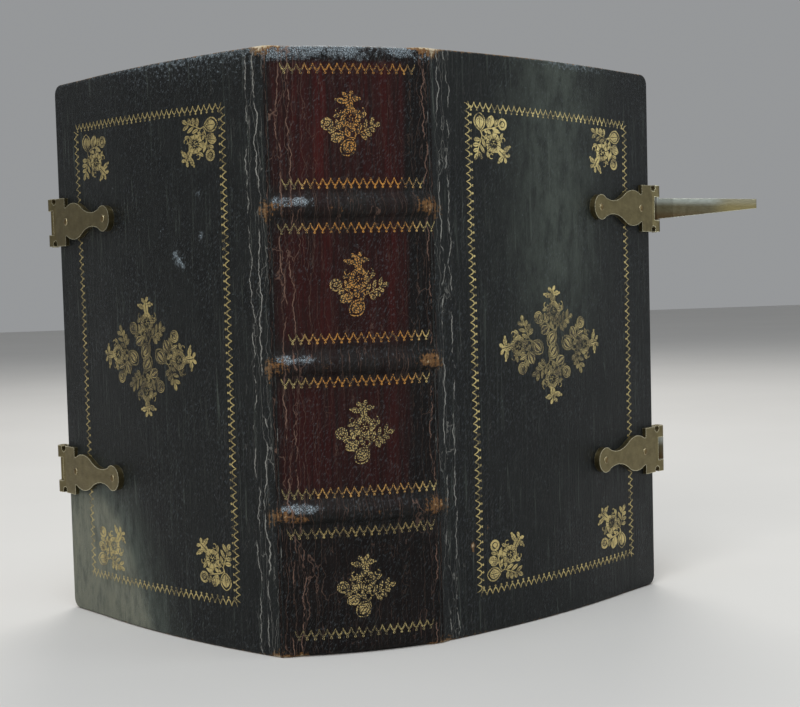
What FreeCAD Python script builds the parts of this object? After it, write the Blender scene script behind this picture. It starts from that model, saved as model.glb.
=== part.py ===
import FreeCAD, Part
import math
import os
import Sketcher
from types import SimpleNamespace
from FreeCAD import Placement, Rotation, Vector

# Clasped devotional book bound in leather over bevelled wooden boards.
# It stands on its tail edges with both covers swung out.
# Millimetres, +Z from tail to head, the rounded spine faces -Y.
# The origin lies on the tail face of the spine, midway between the two cover hinges.

SIZES = [
    # The back of the book
    ("book_height", 180, "boards and spine from tail to head"),
    ("spine_width", 51.4, "from one cover's hinge line to the other's"),
    ("spine_round", 3, "bulge of the back between the hinge lines"),
    ("spine_leather", 1.2, "thickness of the spine's leather"),
    ("spine_edge_gap", 0.3, "spine leather stops this far inside the hinge line"),
    ("lining", 0.5, "from the back of the pages to the inside of the spine's leather"),
    ("glue_line", 0.12, "paper lining clears the leather by this much"),
    ("cap_depth", 4.2, "leather turned in over the pages at head and tail"),
    ("cap_thick", 1.2, "thickness of that turned cap"),
    ("cap_round", 2.4, "radius along the outer edge of the cap"),
    ("endband_gap", 0.1, "head and tail bands clear the cap by this much"),
    # Raised bands and the sewing cords inside them
    ("upper_band", 133, "height of the upper band's middle"),
    ("middle_band", 87, "height of the middle band's middle"),
    ("lower_band", 43, "height of the lower band's middle"),
    ("band_rise", 2.4, "how far a band stands off the spine"),
    ("band_half", 3.1, "half width of a band's crown"),
    ("band_foot", 4.3, "half width where the band runs out into the panel"),
    ("band_lip", 0.5, "rise where the crown meets the run-out"),
    ("band_dip", 0.12, "rise halfway along the run-out"),
    ("cord_half", 2.6, "half width of a sewing cord"),
    ("cord_end_gap", 2.2, "cord stops this far inside the hinge line"),
    # Pages
    ("page_square", 3, "boards stand past the pages by this much"),
    ("page_gap", 0.6, "room between the pages and a closed board's inner face"),
    ("fore_hollow", 3.2, "depth of the hollowed fore edge"),
    # Covers
    ("board_width", 106, "from the hinge line to the fore edge"),
    ("board_thick", 3.6, "inner face lies this deep below the hinge line"),
    ("hinge_gap", 0.5, "board starts this far from the hinge line"),
    ("joint_rise", 0.35, "outer face above the hinge line at the joint"),
    ("crown_at", 45, "distance from the hinge line to the highest point measured"),
    ("crown_rise", 4.0, "outer face above the hinge line there"),
    ("bevel_width", 19, "width of the fore-edge bevel"),
    ("bevel_rise", 1.6, "outer face above the hinge line where the bevel starts"),
    ("cover_leather", 1.0, "thickness of the leather over the boards"),
    ("corner_round", 3.5, "radius of the cover's corners"),
    ("edge_round", 1.0, "radius along the cover's outer edges"),
    ("turn_in", 14, "leather turned in on the board's inner face"),
    ("paste_lap", 4, "pastedown laps over the turned leather"),
    ("paste_thick", 0.25, "thickness of that lap"),
    ("slip_reach", 14, "cord slip laid into the board"),
    ("slip_half", 2.6, "half width of a cord slip"),
    ("slip_depth", 1.9, "floor of the slip's channel below the hinge line"),
    # Brass plates
    ("upper_plate", 133.4, "height of the upper plates' middle"),
    ("lower_plate", 48.4, "height of the lower plates' middle"),
    ("plate_thick", 1.3, "thickness of the brass at the fore edge"),
    ("foot_level", 5.6, "top of the round foot above the hinge line"),
    ("foot_in", 32.6, "centre of the round foot in from the fore edge"),
    ("foot_round", 4.2, "radius of the round foot"),
    ("foot_turn", 48, "degrees from the plate's middle where the foot ends"),
    ("waist_in", 23.8, "waist in from the fore edge"),
    ("waist_half", 2.4, "half width of the waist"),
    ("flank_in", 18.2, "where waist and shoulder meet"),
    ("flank_half", 4.5, "half width there"),
    ("shoulder_in", 13.4, "widest point of the shoulder"),
    ("shoulder_half", 6.1, "half width of the shoulder"),
    ("neck_in", 7.8, "neck in from the fore edge"),
    ("neck_half", 4.8, "half width of the neck"),
    ("head_in", 6.8, "head of the plate starts here"),
    ("head_half", 8.1, "half width of the head"),
    ("nick_at", 0.6, "nick in the head's edges, out from the fore edge"),
    ("nick_half", 0.9, "half width of the nick"),
    ("nick_deep", 2.0, "depth of the nick"),
    ("nail_in", 7.3, "outer nail in from the fore edge"),
    ("nail_shank", 0.7, "radius of a nail"),
    ("nail_head", 1.25, "radius of a nail's head"),
    ("nail_dome", 0.4, "height of the head"),
    ("nail_stop", 2.2, "nail's point below the hinge line"),
    # Knuckles, pins and clasp arms
    ("knuckle_out", 3.6, "knuckle's axis beyond the fore edge"),
    ("knuckle_round", 2.0, "radius of a knuckle"),
    ("slot_half", 4.1, "half width of the slot between the ears"),
    ("slot_gap", 0.3, "slot's floor clears the middle knuckle"),
    ("side_gap", 0.15, "middle knuckle clears each ear"),
    ("pin_round", 0.9, "radius of the hinge pin"),
    ("pin_clear", 0.05, "running clearance of the arm on its pin"),
    ("pin_peen", 0.2, "pin stands out of each ear"),
    ("bar_round", 1.2, "radius of the catch bar"),
    ("hook_gap", 0.3, "hook clears the catch bar"),
    ("arm_thick", 1.6, "thickness of a clasp arm"),
    ("arm_root", 3.6, "half width of the arm at its knuckle"),
    ("arm_tip", 1.75, "half width of the arm at its hook"),
    ("arm_lift", 2.2, "hook's middle stands this far above the knuckle's middle"),
    ("arm_rise_at", 6.5, "arm reaches its full height this far from the axis"),
    ("lip_thick", 1.3, "thickness of the hook's lip"),
    ("lip_reach", 1.0, "lip reaches this far past the bar's middle"),
    # How far the covers and arms stand open
    ("front_angle", 28.5, "front cover from the spine's plane, 90 when closed"),
    ("back_angle", 57.4, "back cover from the spine's plane, 90 when closed"),
    ("upper_arm_angle", -6, "upper arm turned in from the cover, 90 when closed"),
    ("lower_arm_angle", 75, "lower arm turned in from the cover, 90 when closed"),
]

doc = FreeCAD.newDocument("ClaspedBook")
sheet = doc.addObject("Spreadsheet::Sheet", "Sizes")
for row, (alias, number, note) in enumerate(SIZES, start=1):
    sheet.set("A%d" % row, alias)
    sheet.set("B%d" % row, str(number))
    sheet.setAlias("B%d" % row, alias)
    sheet.set("C%d" % row, note)
doc.recompute()


class Size:
    """A number together with the sheet expression that gives it."""

    def __init__(self, number, text):
        self.number = number
        self.text = text

    def __add__(self, other):
        other = as_size(other)
        return Size(self.number + other.number, "(%s + %s)" % (self.text, other.text))

    def __sub__(self, other):
        other = as_size(other)
        return Size(self.number - other.number, "(%s - %s)" % (self.text, other.text))

    def __mul__(self, other):
        other = as_size(other)
        return Size(self.number * other.number, "(%s * %s)" % (self.text, other.text))

    def __truediv__(self, other):
        other = as_size(other)
        return Size(self.number / other.number, "(%s / %s)" % (self.text, other.text))

    def __neg__(self):
        return as_size(0) - self


def as_size(value):
    return value if isinstance(value, Size) else Size(value, repr(value))


def root(value):
    return Size(math.sqrt(value.number), "sqrt(%s)" % value.text)


def turn(reach, radius):
    """Degrees that an arc of this radius turns to reach this far sideways."""
    ratio = reach / radius
    return Size(math.degrees(math.asin(ratio.number)), "asin(%s)" % ratio.text)


def leg_x(radius, degrees):
    return Size(radius.number * math.cos(math.radians(degrees.number)),
                "(%s * cos(%s * 1 deg))" % (radius.text, degrees.text))


def leg_y(radius, degrees):
    return Size(radius.number * math.sin(math.radians(degrees.number)),
                "(%s * sin(%s * 1 deg))" % (radius.text, degrees.text))


dim = SimpleNamespace(**{alias: Size(float(sheet.get(alias)), "Sizes." + alias) for alias, _, _ in SIZES})


def pin_point(sketch, geometry, position, point):
    """Holds one end of a sketch edge at a point given by two sizes."""
    for kind, size in (("DistanceX", point[0]), ("DistanceY", point[1])):
        size = as_size(size)
        index = sketch.addConstraint(Sketcher.Constraint(kind, -1, 1, geometry, position, size.number))
        sketch.setExpression("Constraints[%d]" % index, size.text)


def flat(point):
    return Vector(as_size(point[0]).number, as_size(point[1]).number, 0)


def draw_loop(sketch, start, steps):
    """A closed outline. A step is (end,) for a straight edge or (middle, end) for an arc."""
    here = start
    ends = []
    for step in steps:
        end = step[-1]
        start_side, end_side = 1, 2
        if len(step) == 1:
            geometry = sketch.addGeometry(Part.LineSegment(flat(here), flat(end)), False)
        else:
            first, middle, last = flat(here), flat(step[0]), flat(end)
            if (middle - first).cross(last - middle).z < 0:
                first, last = last, first
                start_side, end_side = 2, 1
            geometry = sketch.addGeometry(Part.ArcOfCircle(first, middle, last), False)
            marker = sketch.addGeometry(Part.Point(middle), True)
            pin_point(sketch, marker, 1, step[0])
            sketch.addConstraint(Sketcher.Constraint("PointOnObject", marker, 1, geometry))
        pin_point(sketch, geometry, start_side, here)
        if ends:
            sketch.addConstraint(Sketcher.Constraint("Coincident", *ends[-1][1], geometry, start_side))
        ends.append(((geometry, start_side), (geometry, end_side)))
        here = end
    sketch.addConstraint(Sketcher.Constraint("Coincident", *ends[-1][1], *ends[0][0]))


def draw_circle(sketch, centre, radius):
    circle = Part.Circle(flat(centre), Vector(0, 0, 1), radius.number)
    geometry = sketch.addGeometry(circle, False)
    pin_point(sketch, geometry, 3, centre)
    index = sketch.addConstraint(Sketcher.Constraint("Radius", geometry, radius.number))
    sketch.setExpression("Constraints[%d]" % index, radius.text)


def box_loop(left, bottom, right, top):
    return (left, bottom), [((right, bottom),), ((right, top),), ((left, top),), ((left, bottom),)]


def new_body(name):
    body = doc.addObject("PartDesign::Body", name)
    body.Label = name
    return body


def new_sketch(body, plane_role, name, loops=(), circles=()):
    sketch = body.newObject("Sketcher::SketchObject", name)
    plane = [item for item in body.Origin.OriginFeatures if item.Role == plane_role][0]
    sketch.AttachmentSupport = [(plane, "")]
    sketch.MapMode = "FlatFace"
    for start, steps in loops:
        draw_loop(sketch, start, steps)
    for centre, radius in circles:
        draw_circle(sketch, centre, radius)
    return sketch


def pad_through(body, sketch, length, feature="Pad"):
    """Pads or pockets a sketch by half the length to each side of its plane."""
    made = body.newObject("PartDesign::" + feature, sketch.Name + "_" + feature.lower())
    made.Profile = sketch
    made.Midplane = True
    made.setExpression("Length", length.text)
    return made


def revolve(body, sketch, degrees, feature="Revolution"):
    """Turns a sketch about its vertical axis, by half the angle to each side."""
    made = body.newObject("PartDesign::" + feature, sketch.Name + "_" + feature.lower())
    made.Profile = sketch
    made.ReferenceAxis = (sketch, ["V_Axis"])
    made.Midplane = True
    made.setExpression("Angle", degrees.text)
    return made


def lifted(body, height):
    body.Placement = Placement(Vector(0, 0, height.number), Rotation())


# Sizes shared by several pieces
half_spine = dim.spine_width / 2
lining_radius = (half_spine * half_spine + dim.spine_round * dim.spine_round) / (dim.spine_round * 2)
page_radius = lining_radius - dim.lining
leather_radius = lining_radius + dim.spine_leather
back_centre = lining_radius - dim.spine_round
page_half = half_spine - dim.board_thick - dim.page_gap
page_top = dim.book_height - dim.page_square
page_turn = turn(page_half, lining_radius) * 2
cord_turn = turn(half_spine - dim.cord_end_gap, lining_radius) * 2
spine_turn = turn(half_spine - dim.spine_edge_gap, lining_radius) * 2
bands = [("upper", dim.upper_band), ("middle", dim.middle_band), ("lower", dim.lower_band)]
nodes = []

# Pages: one block with a rounded back and a hollowed fore edge
text_block = new_body("text_block")
back_y = back_centre - root(page_radius * page_radius - page_half * page_half)
fore_y = dim.board_width - dim.page_square
page_outline = ((-page_half, back_y), [
    ((0, back_centre - page_radius), (page_half, back_y)),
    ((page_half, fore_y),),
    ((0, fore_y - dim.fore_hollow), (-page_half, fore_y)),
    ((-page_half, back_y),),
])
page_sketch = new_sketch(text_block, "XY_Plane", "page_outline", [page_outline])
pad_through(text_block, page_sketch, page_top - dim.page_square)
lifted(text_block, dim.book_height / 2)
nodes.append(text_block)


def back_body(name):
    """A piece of the back, turned about the upright axis at the centre of the spine's curve."""
    body = new_body(name)
    body.Placement = Placement(Vector(0, back_centre.number, 0), Rotation())
    nodes.append(body)
    return body


# Paper linings fill the panels between the cords
panel_edges = [dim.page_square]
for _, height in reversed(bands):
    panel_edges += [height - dim.cord_half, height + dim.cord_half]
panel_edges.append(page_top)
for index, name in enumerate(("tail", "lower", "upper", "head")):
    lining = back_body("spine_lining_" + name)
    low, high = panel_edges[2 * index:2 * index + 2]
    loop = box_loop(dim.glue_line - lining_radius, low, -page_radius, high)
    revolve(lining, new_sketch(lining, "YZ_Plane", name + "_lining_section", [loop]), page_turn)


def cord_loop(height):
    """Section of a sewing cord: flat on the pages, rounded outside."""
    low, high = height - dim.cord_half, height + dim.cord_half
    return (-page_radius, low), [
        ((-lining_radius, low),),
        ((-(lining_radius + dim.band_rise), height), (-lining_radius, high)),
        ((-page_radius, high),),
        ((-page_radius, low),),
    ]


# Sewing cords lie across the back under the raised bands
for name, height in bands:
    cord = back_body(name + "_sewing_cord")
    revolve(cord, new_sketch(cord, "YZ_Plane", name + "_cord_section", [cord_loop(height)]), cord_turn)

# Head and tail bands sit on the ends of the pages, under the leather caps
endband_radius = (dim.page_square - dim.cap_thick - dim.endband_gap) / 2
for name, height in (("head_band", page_top + endband_radius), ("tail_band", dim.page_square - endband_radius)):
    endband = back_body(name)
    centre = (-(page_radius - endband_radius), height)
    revolve(endband, new_sketch(endband, "YZ_Plane", name + "_section", circles=[(centre, endband_radius)]),
            page_turn)

# Spine leather: a curved skin with three raised bands and a turned cap at each end
spine = back_body("spine_leather")
skin = [((-lining_radius, dim.book_height),), ((-leather_radius, dim.book_height),)]
for _, height in bands:
    crown, lip, dip = [-(leather_radius + rise) for rise in (dim.band_rise, dim.band_lip, dim.band_dip)]
    run_out = (dim.band_foot + dim.band_half) / 2
    skin += [
        ((-leather_radius, height + dim.band_foot),),
        ((dip, height + run_out), (lip, height + dim.band_half)),
        ((crown, height), (lip, height - dim.band_half)),
        ((dip, height - run_out), (-leather_radius, height - dim.band_foot)),
    ]
skin += [((-leather_radius, 0),), ((-lining_radius, 0),)]
revolve(spine, new_sketch(spine, "YZ_Plane", "skin_section", [((-lining_radius, 0), skin)]), spine_turn)
cap_inner = dim.cap_depth - lining_radius
caps = [
    box_loop(-leather_radius, dim.book_height - dim.cap_thick, cap_inner, dim.book_height),
    box_loop(-leather_radius, 0, cap_inner, dim.cap_thick),
]
revolve(spine, new_sketch(spine, "YZ_Plane", "cap_sections", caps), page_turn)
beds = [cord_loop(height) for _, height in bands]
revolve(spine, new_sketch(spine, "YZ_Plane", "cord_beds", beds), spine_turn, "Groove")


def beyond_round(end, reach):
    """Section outside the rounded edge of a cap. The reach points out of the book's end."""
    inset = reach * (1 - math.sqrt(0.5))
    side, over = -leather_radius, -leather_radius - dim.cap_round
    corner = (over, end + reach)
    return corner, [
        ((over, end - reach),),
        ((side, end - reach),),
        ((side + dim.cap_round * (1 - math.sqrt(0.5)), end - inset), (side + dim.cap_round, end)),
        ((side + dim.cap_round, end + reach),),
        (corner,),
    ]


cap_edges = [beyond_round(dim.book_height, dim.cap_round), beyond_round(as_size(0), -dim.cap_round)]
revolve(spine, new_sketch(spine, "YZ_Plane", "cap_edges", cap_edges), spine_turn, "Groove")


def joined(kind, name, **links):
    """A boolean or a compound of whole pieces."""
    made = doc.addObject("Part::" + kind, name)
    made.Label = name
    for key, link in links.items():
        setattr(made, key, link)
    return made


def edges_where(shape, test):
    """Names of the edges whose two ends pass a test together."""
    names = []
    for index, edge in enumerate(shape.Edges, start=1):
        ends = [vertex.Point for vertex in edge.Vertexes]
        if len(ends) == 2 and test(*ends):
            names.append("Edge%d" % index)
    return names


def rounded(body, base, names, radius, label):
    fillet = body.newObject("PartDesign::Fillet", label)
    fillet.Base = (base, names)
    fillet.setExpression("Radius", radius.text)
    doc.recompute()
    return fillet


def near(value, target):
    return abs(value - target) < 1e-4


class Cover:
    """One cover. Its pieces are drawn with the board along +X and its inside towards +Y.

    Each piece is the same above and below its own middle, so the back cover's pieces are the
    front's turned over about Y.
    """

    def __init__(self, name, side, degrees):
        self.name = name
        self.hinge = Placement(Vector(side * half_spine.number, 0, 0),
                               Rotation(Vector(0, 0, 1), side * degrees.number))
        self.turned = Rotation(Vector(0, 1, 0), 0 if side > 0 else 180)

    def at(self, height):
        """The placement of a piece whose middle is at this height."""
        return self.hinge.multiply(Placement(Vector(0, 0, height.number), self.turned))

    def body(self, name, height):
        body = new_body(name)
        body.Placement = self.at(height)
        return body


fore = dim.board_width
bevel_start = fore - dim.bevel_width
plate_reach = dim.foot_in + dim.foot_round
plate_fall = (dim.foot_level - dim.plate_thick) / plate_reach


def board_blank(cover, name, inset, corner, edge_radius=None):
    """A board's outer form, drawn in from the leather's outer surface by an inset."""
    body = cover.body(name, dim.book_height / 2)
    edge = fore - inset
    deep = dim.board_thick - inset
    steps = [
        ((dim.crown_at, inset - dim.crown_rise), (bevel_start, inset - dim.bevel_rise)),
        ((edge, inset),),
        ((edge, deep),),
        ((dim.hinge_gap, deep),),
        ((dim.hinge_gap, inset - dim.joint_rise),),
    ]
    loop = ((dim.hinge_gap, inset - dim.joint_rise), steps)
    sketch = new_sketch(body, "XY_Plane", name + "_section", [loop])
    pad = pad_through(body, sketch, dim.book_height - inset * 2)
    doc.recompute()
    reach = edge.number
    corners = edges_where(pad.Shape, lambda p, q: near(p.x, reach) and near(q.x, reach) and near(p.z, q.z))
    shaped = rounded(body, pad, corners, corner, name + "_corners")
    if edge_radius:
        outer = edges_where(shaped.Shape, lambda p, q: max(p.y, q.y) < 1e-4
                            and (not near(p.x, q.x) or near(p.x, reach)))
        rounded(body, shaped, outer, edge_radius, name + "_edges")
    return body


def nail(cover, name, inward, height):
    """A round-headed brass nail driven square to the face. Returns its shank and the whole nail."""
    frame = cover.at(height)
    drive = Vector(-plate_fall.number, 1, 0).normalize()
    seat = flat((fore - inward, -(dim.plate_thick + plate_fall * inward)))
    top = seat - drive * (dim.nail_dome.number / 2)
    shank = doc.addObject("Part::Cylinder", name + "_shank")
    shank.setExpression("Radius", dim.nail_shank.text)
    shank.Height = (dim.nail_stop.number - top.y) / drive.y
    shank.Placement = frame.multiply(Placement(top, Rotation(Vector(0, 0, 1), drive)))
    head = doc.addObject("Part::Ellipsoid", name + "_head")
    head.setExpression("Radius1", dim.nail_dome.text)
    head.setExpression("Radius2", dim.nail_head.text)
    head.setExpression("Radius3", dim.nail_head.text)
    head.Angle1 = 0
    head.Angle2 = 90
    head.Placement = frame.multiply(Placement(seat, Rotation(Vector(0, 0, -1), drive)))
    return shank, joined("MultiFuse", name, Shapes=[shank, head])


knuckle_at = fore + dim.knuckle_out
knuckle_deep = dim.knuckle_round - dim.plate_thick
arm_span = (half_spine - knuckle_deep) * 2
plates = [("upper", dim.upper_plate), ("lower", dim.lower_plate)]


def plate_section():
    """Section of a plate: its back follows the cover's face, its top is flat, and it ends in a knuckle."""
    meet = knuckle_at - root(dim.knuckle_round * dim.knuckle_round - knuckle_deep * knuckle_deep)
    steps = [
        ((dim.crown_at, -dim.crown_rise), (bevel_start, -dim.bevel_rise)),
        ((fore, 0),),
        ((meet, 0),),
        ((knuckle_at + dim.knuckle_round, knuckle_deep), (knuckle_at, -dim.plate_thick)),
        ((fore, -dim.plate_thick),),
        ((fore - plate_reach, -dim.foot_level),),
        ((dim.hinge_gap, -dim.foot_level),),
        ((dim.hinge_gap, -dim.joint_rise),),
    ]
    return (dim.hinge_gap, -dim.joint_rise), steps


def plate_outline():
    """Outline of a plate seen from outside: round foot, waist, shoulder, neck and nicked head."""
    foot = fore - dim.foot_in
    foot_x = foot + leg_x(dim.foot_round, dim.foot_turn)
    foot_y = leg_y(dim.foot_round, dim.foot_turn)
    end = knuckle_at + dim.knuckle_round
    nick = fore + dim.nick_at
    half = [
        ((fore - dim.waist_in, dim.waist_half), (fore - dim.flank_in, dim.flank_half)),
        ((fore - dim.shoulder_in, dim.shoulder_half), (fore - dim.neck_in, dim.neck_half)),
        ((fore - dim.head_in, dim.neck_half),),
        ((fore - dim.head_in, dim.head_half),),
        ((nick - dim.nick_half, dim.head_half),),
        ((nick, dim.head_half - dim.nick_deep), (nick + dim.nick_half, dim.head_half)),
        ((end, dim.head_half),),
    ]
    low = [tuple((x, -y) for x, y in step) for step in half]
    corners = [(foot_x, -foot_y)] + [step[-1] for step in low]
    back = [step[:-1] + (corners[index],) for index, step in enumerate(low)]
    steps = [((foot - dim.foot_round, 0), (foot_x, foot_y))] + half + [((end, -dim.head_half),)] + back[::-1]
    return (foot_x, -foot_y), steps


def plate(cover, name, height, bore):
    """A cast brass plate with two ears round a slot. The hinge pin or catch bar crosses the slot."""
    body = cover.body(name + "_casting", height)
    reach = dim.head_half * 4
    section = new_sketch(body, "XY_Plane", name + "_section", [plate_section()])
    pad_through(body, section, dim.head_half * 2)
    frame = box_loop(0, -reach, fore + reach, reach)
    outline = new_sketch(body, "XZ_Plane", name + "_outline", [frame, plate_outline()])
    pad_through(body, outline, reach, "Pocket")
    floor = knuckle_at - dim.knuckle_round - dim.slot_gap
    slot = box_loop(floor, -dim.slot_half, fore + reach, dim.slot_half)
    pad_through(body, new_sketch(body, "XZ_Plane", name + "_slot", [slot]), reach, "Pocket")
    bore_sketch = new_sketch(body, "XY_Plane", name + "_bore", circles=[((knuckle_at, knuckle_deep), bore)])
    pad_through(body, bore_sketch, reach, "Pocket")
    return body


def rod(cover, name, height, radius, past):
    """A round pin or bar along the knuckle's axis, standing out of each ear."""
    body = cover.body(name, height)
    sketch = new_sketch(body, "XY_Plane", name + "_circle", circles=[((knuckle_at, knuckle_deep), radius)])
    pad_through(body, sketch, (dim.head_half + past) * 2)
    nodes.append(body)


def build_cover(cover, plate_kind, rod_kind, radius):
    """Board, leather, pastedown, cord slips, nails and two brass plates of one cover."""
    blank = board_blank(cover, cover.name + "_board_blank", dim.cover_leather,
                        dim.corner_round - dim.cover_leather)

    # Cord slips lie in channels cut in the outer face of the board
    channel = dim.slip_depth + dim.crown_rise
    rooms = []
    for name, height in bands:
        room = doc.addObject("Part::Box", "%s_%s_slip_room" % (cover.name, name))
        for key, length in (("Length", dim.slip_reach), ("Width", channel), ("Height", dim.slip_half * 2)):
            room.setExpression(key, length.text)
        corner = Vector(dim.hinge_gap.number, -dim.crown_rise.number, -dim.slip_half.number)
        room.Placement = cover.at(height).multiply(Placement(corner, Rotation()))
        rooms.append(room)
    slip_rooms = joined("Compound", cover.name + "_slip_rooms", Links=rooms)
    slips = joined("Common", cover.name + "_cord_slips", Base=blank, Tool=slip_rooms)

    # Nails: one in the foot and one in the neck of each plate
    nails = []
    for name, height in plates:
        for spot, inward in (("foot", dim.foot_in), ("neck", dim.nail_in)):
            nails.append(nail(cover, "%s_%s_%s_nail" % (cover.name, name, spot), inward, height))
    shanks = joined("Compound", cover.name + "_nail_shanks", Links=[shank for shank, _ in nails])
    nail_group = joined("Compound", cover.name + "_plate_nails", Links=[whole for _, whole in nails])

    # Board: the blank less the channels and the nail holes
    channelled = joined("Cut", cover.name + "_board_channelled", Base=blank, Tool=slip_rooms)
    board = joined("Cut", cover.name + "_board", Base=channelled, Tool=shanks)

    # Pastedown: fills the window between the turned edges and laps over them
    pastedown = cover.body(cover.name + "_pastedown", dim.book_height / 2)
    lap_in = dim.turn_in - dim.paste_lap
    for name, margin, face, thickness in (
            ("window", dim.turn_in, dim.board_thick - dim.cover_leather, dim.cover_leather),
            ("lap", lap_in, dim.board_thick, dim.paste_thick)):
        high = dim.book_height / 2 - margin
        sketch = new_sketch(pastedown, "XZ_Plane", "%s_%s" % (cover.name, name),
                            [box_loop(dim.hinge_gap, -high, fore - margin, high)])
        sketch.setExpression("AttachmentOffset.Base.z", (-face).text)
        layer = pastedown.newObject("PartDesign::Pad", "%s_%s_pad" % (cover.name, name))
        layer.Profile = sketch
        layer.Reversed = True
        layer.setExpression("Length", thickness.text)

    # Leather: rounded outer form less the board, the pastedown and the nail holes
    hide = board_blank(cover, cover.name + "_leather_form", as_size(0), dim.corner_round, dim.edge_round)
    skin = joined("Cut", cover.name + "_leather_wrap", Base=hide, Tool=blank)
    window_cut = joined("Cut", cover.name + "_leather_window", Base=skin, Tool=pastedown)
    leather = joined("Cut", cover.name + "_cover_leather", Base=window_cut, Tool=shanks)
    nodes.extend([board, leather, pastedown, slips, nail_group])

    # Brass plates with the nail holes, and the pin or bar through each pair of ears
    for name, height in plates:
        casting = plate(cover, "%s_%s" % (name, plate_kind), height, radius)
        nodes.append(joined("Cut", "%s_%s" % (name, plate_kind), Base=casting, Tool=shanks))
        rod(cover, "%s_%s" % (name, rod_kind), height, radius, dim.pin_peen)


front = Cover("front", 1, dim.front_angle)
back = Cover("back", -1, dim.back_angle)
build_cover(front, "hinge_plate", "hinge_pin", dim.pin_round)
build_cover(back, "catch_plate", "catch_bar", dim.bar_round)


def clasp_arm(name, height, degrees):
    """A tapered brass arm: knuckle on the hinge pin, flat strap, and a hook over the catch bar."""
    arm = new_body(name)
    axis = Placement(Vector(knuckle_at.number, knuckle_deep.number, height.number),
                     Rotation(Vector(0, 0, 1), degrees.number))
    arm.Placement = front.hinge.multiply(axis)
    inner = dim.bar_round + dim.hook_gap
    outer = inner + dim.arm_thick
    hook = arm_span + inner
    tip = hook + dim.lip_thick
    bend = dim.arm_thick / 2
    slope = as_size(35)
    strap_loop = ((0, -dim.knuckle_round), [
        ((dim.arm_rise_at, -outer),),
        ((tip - bend, -outer),),
        ((tip - bend + leg_x(bend, as_size(45)), bend - outer - leg_y(bend, as_size(45))), (tip, bend - outer)),
        ((tip, dim.lip_reach),),
        ((hook, dim.lip_reach),),
        ((hook, -inner),),
        ((dim.arm_rise_at, -inner),),
        ((leg_x(dim.knuckle_round, slope), -leg_y(dim.knuckle_round, slope)),),
        ((0, -dim.knuckle_round),),
    ])
    strap = new_sketch(arm, "XY_Plane", name + "_strap", [strap_loop])
    pad_through(arm, strap, (dim.arm_root + dim.arm_lift) * 2)
    reach = dim.arm_root * 3
    low, high = dim.arm_lift - dim.arm_tip, dim.arm_lift + dim.arm_tip
    taper = ((-reach, -dim.arm_root), [
        ((0, -dim.arm_root),), ((tip, low),), ((tip + reach, low),), ((tip + reach, high),),
        ((tip, high),), ((0, dim.arm_root),), ((-reach, dim.arm_root),), ((-reach, -dim.arm_root),),
    ])
    frame = box_loop(-reach * 2, -reach, tip + reach * 2, reach)
    pad_through(arm, new_sketch(arm, "XZ_Plane", name + "_taper", [frame, taper]), reach, "Pocket")
    barrel = new_sketch(arm, "XY_Plane", name + "_barrel", circles=[((0, 0), dim.knuckle_round)])
    pad_through(arm, barrel, (dim.slot_half - dim.side_gap) * 2)
    bore = new_sketch(arm, "XY_Plane", name + "_bore", circles=[((0, 0), dim.pin_round + dim.pin_clear)])
    pad_through(arm, bore, reach, "Pocket")
    nodes.append(arm)


clasp_arm("upper_clasp_arm", dim.upper_plate, dim.upper_arm_angle)
clasp_arm("lower_clasp_arm", dim.lower_plate, dim.lower_arm_angle)

doc.recompute()
for item in doc.Objects:
    if "Invalid" in item.State or "Error" in item.State:
        raise RuntimeError("%s failed: %s" % (item.Label, item.State))
for node in nodes:
    if node.Shape.isNull() or not node.Shape.isValid():
        raise RuntimeError("%s has no sound shape" % node.Label)

os.makedirs("parts", exist_ok=True)
for node in nodes:
    node.Shape.exportStep("parts/%s.step" % node.Label)
    print("%-24s %9.1f mm3  %d solids" % (node.Label, node.Shape.Volume, len(node.Shape.Solids)))
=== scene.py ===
import math
import bpy
import numpy as np
from mathutils import Matrix, Vector


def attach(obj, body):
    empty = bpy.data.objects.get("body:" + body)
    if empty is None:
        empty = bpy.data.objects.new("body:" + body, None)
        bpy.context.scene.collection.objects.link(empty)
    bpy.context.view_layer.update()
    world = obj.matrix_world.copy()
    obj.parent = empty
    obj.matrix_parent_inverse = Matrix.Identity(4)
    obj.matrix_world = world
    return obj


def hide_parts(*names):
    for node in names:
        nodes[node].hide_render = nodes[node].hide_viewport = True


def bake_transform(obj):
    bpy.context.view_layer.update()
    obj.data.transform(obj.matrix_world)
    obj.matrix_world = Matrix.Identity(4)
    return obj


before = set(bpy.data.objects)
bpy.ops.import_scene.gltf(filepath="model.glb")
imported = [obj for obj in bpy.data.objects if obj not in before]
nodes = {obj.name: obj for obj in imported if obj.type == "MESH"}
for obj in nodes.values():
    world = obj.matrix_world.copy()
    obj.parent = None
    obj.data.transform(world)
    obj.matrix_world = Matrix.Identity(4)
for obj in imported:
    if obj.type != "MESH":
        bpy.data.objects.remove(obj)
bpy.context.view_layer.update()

# The view. The camera stands left of the spine, a little above the book's middle and close to it.
azimuth, elevation, roll = math.radians(-14.28), math.radians(3.26), math.radians(-1.52)
back_way = Vector((math.sin(azimuth) * math.cos(elevation), -math.cos(azimuth) * math.cos(elevation),
                   math.sin(elevation)))
level = Vector((math.cos(azimuth), math.sin(azimuth), 0))
upright = back_way.cross(level)
side_way = level * math.cos(roll) + upright * math.sin(roll)
top_way = upright * math.cos(roll) - level * math.sin(roll)
view = bpy.data.cameras.new("view")
view.lens = 63.1
view.clip_start = 0.01
camera = bpy.data.objects.new("view", view)
camera.matrix_world = Matrix.Translation(Vector((0.01406, 0, 0.08897)) + back_way * 0.4215) @ \
    Matrix((side_way, top_way, back_way)).transposed().to_4x4()
bpy.context.scene.collection.objects.link(camera)
bpy.context.scene.camera = camera

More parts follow.
